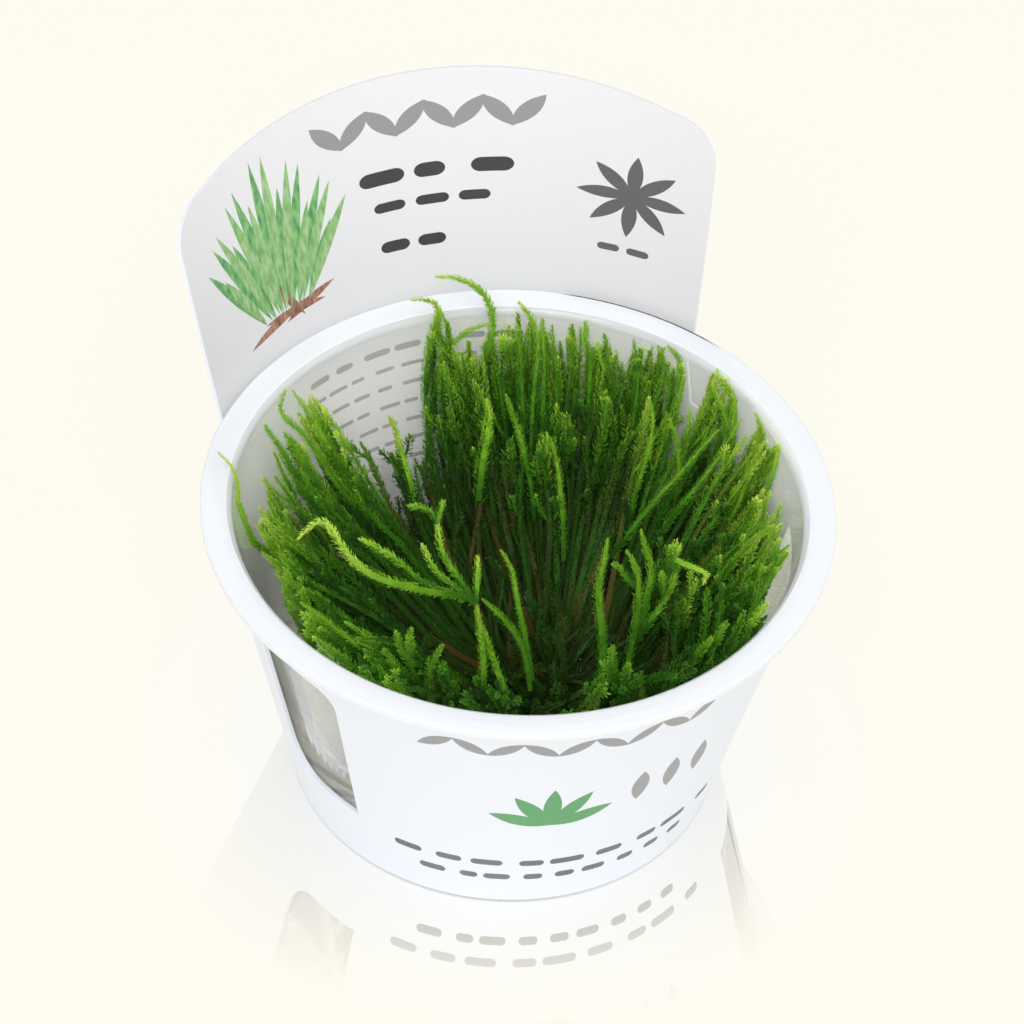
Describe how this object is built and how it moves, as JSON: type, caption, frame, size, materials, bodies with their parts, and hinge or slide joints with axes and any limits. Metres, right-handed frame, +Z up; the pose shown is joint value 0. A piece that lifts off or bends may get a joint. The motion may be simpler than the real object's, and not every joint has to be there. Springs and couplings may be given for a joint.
{
  "type": "potted aquarium moss tuft",
  "caption": "Tuft of spiky aquarium moss in an open see-through plastic cup, with a card sleeve that has side windows and a tall arched header.",
  "frame": {"origin": "centre of the cup's flat underside", "axes": "+Z up along the cup's axis, +Y towards the header at the back, -Y towards the front of the sleeve"},
  "size_m": [0.08, 0.091, 0.0732],
  "materials": {
    "cup_plastic": "glossy see-through injection-moulded plastic",
    "sleeve_card": "smooth white coated card, printed on both faces",
    "moss_shoots": "moist moss leaves, dark green at the foot and yellow-green at the tips"
  },
  "bodies": {
    "root": {"cup": "cup_plastic", "sleeve": "sleeve_card", "moss_back": "moss_shoots", "moss_left": "moss_shoots", "moss_right": "moss_shoots", "moss_front": "moss_shoots"}
  },
  "joints": []
}
